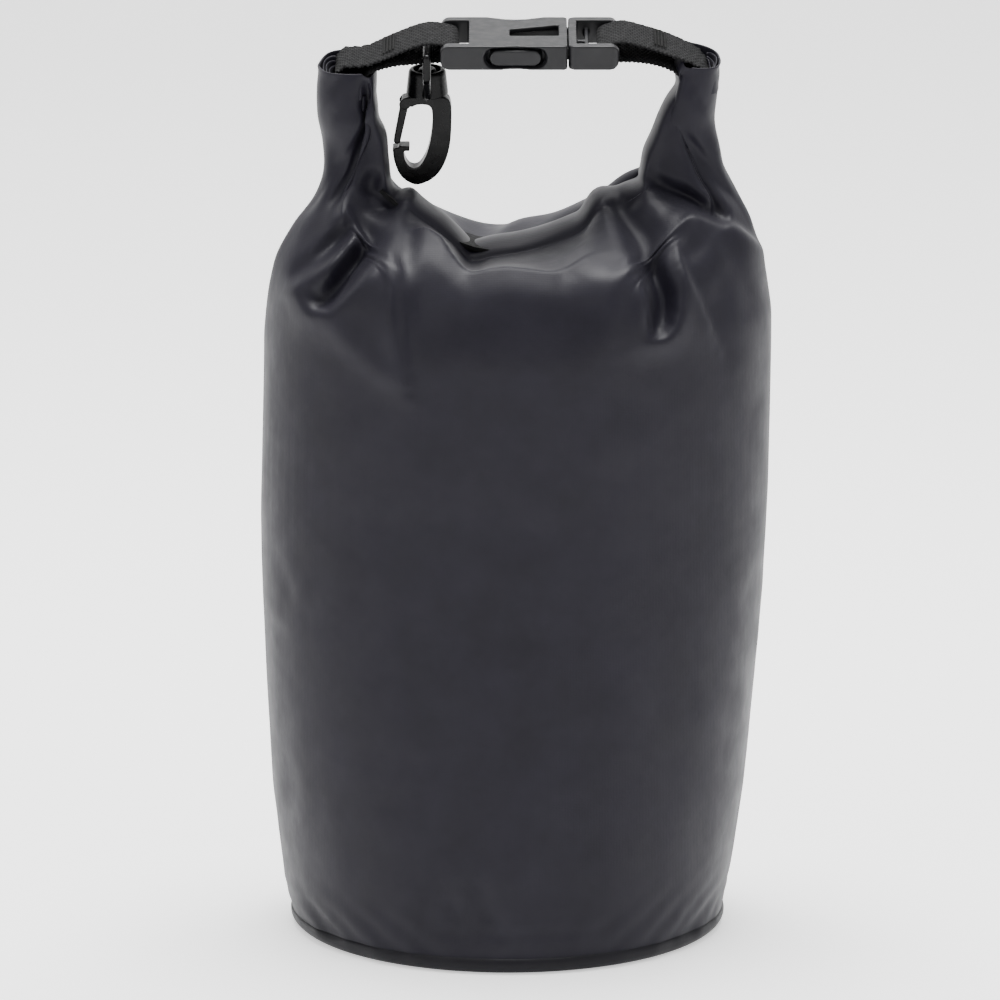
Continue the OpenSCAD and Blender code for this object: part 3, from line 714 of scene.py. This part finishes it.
def build_skin(x):
    """One mesh: the tube, the wrap over the roll from front to back, and a turned hem at each tip."""
    rows, columns = x.shape[0] - 1, x.shape[1]
    half = columns // 2
    rim = x[-1]
    step = np.linalg.norm(np.roll(rim, -1, 0) - rim, axis=1)
    from_right = np.r_[0, np.cumsum(step[:half])]
    total = from_right[-1]
    tangent = np.roll(rim, -1, 0) - np.roll(rim, 1, 0)
    points = [x.reshape(-1, 3)]
    faces = grid_faces(rows + 1, columns, True).tolist()
    first_extra = (rows + 1) * columns
    kind = []
    more = np.zeros((EXTRA_ROWS, columns, 3))
    for i in range(columns):
        partner = (columns - i) % columns
        k = min(i, partner)
        along = from_right[k]
        tip = along < RIGHT_TIP or total - along < LEFT_TIP
        front = i >= half or i == 0
        t = tangent[partner if front else i]
        out = np.array([t[2], 0, -t[0]])
        out /= np.linalg.norm(out) + 1e-9
        if front and not tip:
            kind.append("wrap")
            width = -rim[i][1]
            flat = abs(out[2])
            bulge = 1.4 + 2.8 * flat
            for j in range(EXTRA_ROWS):
                phi = math.radians(WRAP_TURN * (j + 1) / EXTRA_ROWS)
                w = width + 0.9 * ease((phi - 1.2) / 1.6)
                across = np.array([0, -w * math.cos(phi), 0])
                more[j, i] = rim[i] * (1, 0, 1) + across + out * bulge * math.sin(phi)
        elif tip:
            kind.append("tip")
            side = -1 if rim[i][0] < 0 else 1
            table = LEFT_HORN if side < 0 else RIGHT_HORN
            centre = np.array([column(table, 255), 0, rim[i][2]])
            inward = centre - rim[i]
            inward /= np.linalg.norm(inward) + 1e-9
            for j in range(EXTRA_ROWS):
                turn = min(1, (j + 1) / HEM_ROWS) * math.pi
                down = max(0, (j + 1) / HEM_ROWS - 1) * HEM_DROP
                upward = np.array([0, 0, 0.3 * math.sin(turn) - down])
                more[j, i] = rim[i] + inward * 0.35 * (1 - math.cos(turn)) + upward
        else:
            kind.append("none")
            more[:, i] = rim[i]
    points.append(more.reshape(-1, 3))
    for i in range(columns):
        n = (i + 1) % columns
        if kind[i] == "none" or kind[n] == "none" or kind[i] != kind[n]:
            continue
        for j in range(EXTRA_ROWS):
            low = rows * columns if j == 0 else first_extra + (j - 1) * columns
            up = first_extra + j * columns
            faces.append([low + i, low + n, up + n, up + i])
    skin = mesh_piece("bag_fabric", np.concatenate(points), faces, FABRIC)
    clean = bmesh.new()
    clean.from_mesh(skin.data)
    loose = [v for v in clean.verts if not v.link_faces]
    bmesh.ops.delete(clean, geom=loose, context="VERTS")
    clean.to_mesh(skin.data)
    clean.free()
    subdivide(skin)
    return skin


# Hem of the base from its top edge down: height, distance out from the tube
HEM = [(4.7, -0.05), (4.6, 0.35), (4.2, 0.55), (3.2, 0.55), (2.0, 0.5), (1.1, 0.45)]
# Underside from the edge inwards: radius, height
UNDERSIDE = [(62.6, 0.35), (61.4, 0.1), (58, 0.25), (50, 0.5), (38, 0.8), (24, 1.0), (10, 1.1), (1.0, 1.1)]


def build_base(x):
    """Round base panel with the hem that laps up over the tube's lower edge."""
    columns = x.shape[1]
    normals = unit_normals(x)
    rings = []
    for z, out in HEM:
        ring_now = np.zeros((columns, 3))
        for i in range(columns):
            for k in range(3):
                ring_now[i, k] = np.interp(z, x[:6, i, 2], x[:6, i, k])
            n = normals[1, i] * (1, 1, 0)
            ring_now[i] += n / np.linalg.norm(n) * out
            ring_now[i, 2] = z
        rings.append(ring_now)
    angle = np.arctan2(rings[-1][:, 1], rings[-1][:, 0])
    rng = np.random.default_rng(SEED)
    pucker = sum(rng.normal(0, 1) * np.cos(k * angle + rng.uniform(0, 6.28)) / 3 for k in (9, 14, 23, 31))
    for radius, z in UNDERSIDE:
        edge = ease((radius - 40) / 20)
        lift = 0.12 * pucker * edge * (radius < 62)
        height = z + np.maximum(lift, -0.05)
        rings.append(np.stack([radius * np.cos(angle), radius * np.sin(angle), height], 1))
    points = np.concatenate(rings[::-1])
    faces = grid_faces(len(rings), columns, True).tolist()
    faces.append(list(range(columns))[::-1])
    base = mesh_piece("base_fabric", points, faces, BASE_FABRIC)
    subdivide(base)
    return base


HORN_TIP_Z = 256
LAYER_DEPTH = 5         # how far down the tip's layers are seen


def horn_layers(name, table, side, strap_out, strap_in, top):
    """Edges of the rolled layers, seen in the open tip of a horn: nested strips round the webbing."""
    points, faces = [], []
    xc, rx = column(table, HORN_TIP_Z), column(table, HORN_TIP_Z, 2)

    def strip(centre_x, reach, half_y, edge_z, bend, phase):
        n, levels = 30, 5
        t = np.radians(np.linspace(-96, 96, n))
        first = sum(len(p) for p in points)
        for level in np.linspace(0, 1, levels):
            z = edge_z - LAYER_DEPTH * level
            wobble = 0.25 * np.sin(3 * t + phase) * (1 - level)
            px = centre_x + bend * (reach + wobble) * np.cos(t)
            py = half_y * np.sin(t)
            pz = z + TIP_TILT * py + 0.4 * np.sin(2 * t + phase) * (1 - level)
            points.append(np.stack([px, py, pz], 1))
        faces.extend(grid_faces(levels, n, False, first).tolist())

    for k, share in enumerate((0.66, 0.46, 0.27)):
        room = abs(xc + side * rx - strap_out)
        strip(strap_out, room * share, 7.0 - 0.7 * k, top - 0.8 * k, side, 1.3 * k + side)
    strip(strap_in, 1.6, 7.4, top - 5.5, -side, 0.5)
    layers = mesh_piece(name, np.concatenate(points), faces, FABRIC)
    thicken(layers, 0.5)
    subdivide(layers)
    return layers


# ---------------------------------------------------------------- webbing

WEB_W = 20.0
WEB_T = 1.3
PICK = 1.3          # distance between the webbing's picks
PICK_DEPTH = 0.2
WEB_LENGTH = 132        # of one strap, from horn to horn round its bar
STEPS_PER_PICK = 6
RIBS = 7.5          # lengthwise ribs across half the width
LOOP_R = 2.25
HANDLE_X = 5.7      # middle of the handle between the horns
LEFT_BAR = -17.2
RIGHT_BAR = 28.6
LEFT_UPPER = [
    (-46.5, -11), (-49.3, -9), (-49.8, -6.4), (-47.6, -4.4), (-44, -4.2), (-40.3, -3.5), (-36, -1.6),
    (-31, 0.6), (-26, 2.5), (-22, 3.1),
]
LEFT_LOWER = [(-22, -2.5), (-27, -2.9), (-33, -3.5), (-38, -4.9), (-41, -6.9), (-42.2, -10.5)]
RIGHT_UPPER = [
    (55.5, -12), (57.6, -9.5), (57.4, -6.5), (54.6, -3.9), (50.5, -1.9), (45, 0.3), (39, 2.2),
    (34.5, 3.4), (31.8, 3.4),
]
RIGHT_LOWER = [(32.5, -2.2), (37, -2.3), (42, -3), (46.5, -4.4), (49.6, -6.6), (50.6, -11)]


def strap(name, upper, lower, bar, side):
    """Webbing from inside the horn, round the buckle's bar and back, with its picks and serrated edges."""
    turn = [(bar + side * LOOP_R * math.cos(math.radians(a)), LOOP_R * math.sin(math.radians(a)))
            for a in range(80, -81, -20)]
    line, length = evenly(spline([*upper, *turn, *lower], 14),
                          int(WEB_LENGTH / PICK * STEPS_PER_PICK) + 1)
    s = np.linspace(0, length, len(line))
    tangent = np.gradient(line, axis=0)
    tangent /= np.linalg.norm(tangent, axis=1, keepdims=True)
    normal = np.stack([-tangent[:, 1], tangent[:, 0]], 1)
    into_horn = ease((np.abs(line[:, 0] - HANDLE_X) - 41) / 8)
    across = np.linspace(-1, 1, 45)
    rows = []
    for face in (1, -1):
        for u in across if face > 0 else across[::-1]:
            lean = 2 * math.pi * (s / PICK + 0.35 * np.sin(s / 9.0))
            serration = PICK_DEPTH * np.cos(lean + (0 if u > 0 else 2.0)) * (abs(u) > 0.9)
            y = u * (WEB_W / 2 - 0.9 * into_horn) + np.sign(u) * serration
            cell = np.cos(lean) * math.cos(math.pi * u * RIBS) + 0.35 * np.cos(lean / 2 + 4 * u)
            edge = 1 - max(0, abs(u) - 0.93) / 0.07 * 0.7
            lift = (WEB_T / 2 - PICK_DEPTH + PICK_DEPTH * cell) * edge
            gather = into_horn * 0.22 * np.sin(2.2 * s) * u * u
            px = line[:, 0] + face * normal[:, 0] * lift
            pz = line[:, 1] + face * normal[:, 1] * lift + gather
            rows.append(np.stack([px, y, pz], 1))
    grid = np.stack(rows, 1)
    points = handle_point(grid.reshape(-1, 3))
    faces = grid_faces(grid.shape[0], grid.shape[1], True).tolist()
    ring_len = grid.shape[1]
    last = (grid.shape[0] - 1) * ring_len
    faces = [f[::-1] for f in faces]
    for j in range(ring_len // 2 - 1):
        a, b = j, ring_len - 1 - j
        faces.append([a, a + 1, b - 1, b])
        faces.append([last + b, last + b - 1, last + a + 1, last + a])
    return mesh_piece(name, points, faces, WEBBING)


TACK_ROWS, TACK_W, ZIGZAGS = 4, 14, 36
THREAD_R = 0.17


def bar_tack(name, at_x, at_z, tilt, body, node):
    """Close rows of zigzag thread across the webbing."""
    points, faces = [], []
    angle = math.radians(tilt)
    for row in range(TACK_ROWS):
        path = []
        for k in range(ZIGZAGS + 1):
            y = -TACK_W / 2 + TACK_W * k / ZIGZAGS
            x = row - (TACK_ROWS - 1) / 2 + (0.32 if k % 2 else -0.32)
            lift = 0.92 + (0.1 if k % 2 else 0)
            path.append((at_x + x * math.cos(angle) + lift * math.sin(angle), y,
                         at_z - x * math.sin(angle) + lift * math.cos(angle)))
        more, quads = tube(handle_point(path), THREAD_R, 6)
        first = sum(len(p) for p in points)
        points.append(more)
        faces.extend([[i + first for i in f] for f in quads])
    piece = mesh_piece(name, np.concatenate(points), faces, THREAD)
    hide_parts(node)
    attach(piece, body)
    return piece


# ---------------------------------------------------------------- CAD nodes that stay

def soften(node, voxel_mm, passes, material):
    """Rounds a moulded part's edges as a mould does, and gives it its material."""
    piece = nodes[node]
    piece.data.materials.clear()
    piece.data.materials.append(material)
    if voxel_mm:
        remesh = piece.modifiers.new("skin", "REMESH")
        remesh.mode = "VOXEL"
        remesh.voxel_size = voxel_mm * MM
        remesh.use_smooth_shade = True
        smooth = piece.modifiers.new("smooth", "SMOOTH")
        smooth.factor = 0.5
        smooth.iterations = passes


# ---------------------------------------------------------------- build

skin_points = solved_skin()
skin = build_skin(skin_points)
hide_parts("body_shell", "rolled_mouth", "rolled_left_end", "rolled_right_end")
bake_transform(skin)

base = build_base(skin_points)
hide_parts("base_panel")
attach(base, "bag")

left_layers = horn_layers("roll_layers_left", LEFT_HORN, -1, -50.6, -42.4, 257.6)
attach(left_layers, "bag")
right_layers = horn_layers("roll_layers_right", RIGHT_HORN, 1, 58.2, 51.6, 259.2)
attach(right_layers, "right_end")

strap_left = strap("webbing_left", LEFT_UPPER, LEFT_LOWER, LEFT_BAR, 1)
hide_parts("strap_left")
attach(strap_left, "bag")
strap_right = strap("webbing_right", RIGHT_UPPER, RIGHT_LOWER, RIGHT_BAR, -1)
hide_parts("strap_right")
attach(strap_right, "right_end")

bar_tack("stitching_left", -34.5, -0.9, -25, "bag", "bar_tack_left")
bar_tack("stitching_right", 44.0, 0.7, 20, "right_end", "bar_tack_right")

# Voxel in millimetres, smoothing passes and material; voxel 0 leaves the mesh as it is
for names, voxel, passes, material in (
    (("buckle_socket", "buckle_plug"), 0.28, 5, BUCKLE),
    (("release_arm_front", "release_arm_back"), 0.22, 4, BUCKLE),
    (("hook_body", "hook_gate", "hook_eye"), 0.22, 4, HOOK),
    (("base_seam_tape", "side_seam_tape"), 0, 0, TAPE),
    (("rim_webbing",), 0, 0, WEBBING),
):
    for name in names:
        soften(name, voxel, passes, material)


# ---------------------------------------------------------------- floor, light, camera

def floor_paint(name, colour):
    """Matt paint that also glows, as a lit studio sweep seems to."""
    material = node_material(name, colour, 0.9, Emission_Strength=0.7)
    material.node_tree.nodes["Principled BSDF"].inputs["Emission Color"].default_value = (1, 1, 1, 1)
    coords = add(material, "ShaderNodeTexCoord")
    vary_colour(material, coords, "Object", tuple(c * 0.985 for c in colour), colour, 3.0)
    return material


def build_floor():
    """Pale floor that curves up into a backdrop, in metres."""
    profile = spline([(-3, 0), (0, 0), (1.2, 0), (2.0, 0.12), (2.5, 0.7), (2.6, 2.4)], 8)
    width = 4.0
    points = [(x, float(y), float(z)) for y, z in profile for x in (-width, width)]
    faces = grid_faces(len(profile), 2, False)
    floor = bpy.data.meshes.new("floor")
    floor.from_pydata(points, [], faces.tolist())
    floor.materials.append(floor_paint("pale_floor", (0.93, 0.93, 0.93)))
    floor_object = bpy.data.objects.new("floor", floor)
    bpy.context.scene.collection.objects.link(floor_object)
    for polygon in floor.polygons:
        polygon.use_smooth = True


def softbox(name, place, size, watts):
    lamp = bpy.data.lights.new(name, "AREA")
    lamp.shape = "RECTANGLE"
    lamp.size, lamp.size_y = size
    lamp.energy = watts
    holder = bpy.data.objects.new(name, lamp)
    holder.location = place
    aim = Vector((0, 0, 0.13)) - Vector(place)
    holder.rotation_euler = aim.to_track_quat("-Z", "Y").to_euler()
    bpy.context.scene.collection.objects.link(holder)


def build_light():
    world = bpy.data.worlds.new("studio")
    bpy.context.scene.world = world
    world.use_nodes = True
    background = world.node_tree.nodes["Background"]
    background.inputs["Color"].default_value = (1, 1, 1, 1)
    background.inputs["Strength"].default_value = 0.8
    softbox("key", (-1.1, -1.2, 1.1), (0.9, 1.2), 6)
    softbox("fill", (1.2, -1.0, 0.8), (0.8, 1.2), 3.5)
    softbox("top", (0, 0.25, 1.5), (1.0, 0.8), 56)


def build_camera():
    """The photograph's view: straight on, 12.5 degrees above, with a long lens."""
    target = Vector((-0.0024, 0, 0.1277))
    distance, rise = 2.2, math.radians(12.5)
    lens = bpy.data.cameras.new("camera")
    lens.lens = 267.6
    lens.sensor_width = 36
    holder = bpy.data.objects.new("camera", lens)
    holder.location = target + Vector((0, -math.cos(rise), math.sin(rise))) * distance
    holder.rotation_euler = (target - holder.location).to_track_quat("-Z", "Y").to_euler()
    bpy.context.scene.collection.objects.link(holder)
    bpy.context.scene.camera = holder


build_floor()
build_light()
build_camera()
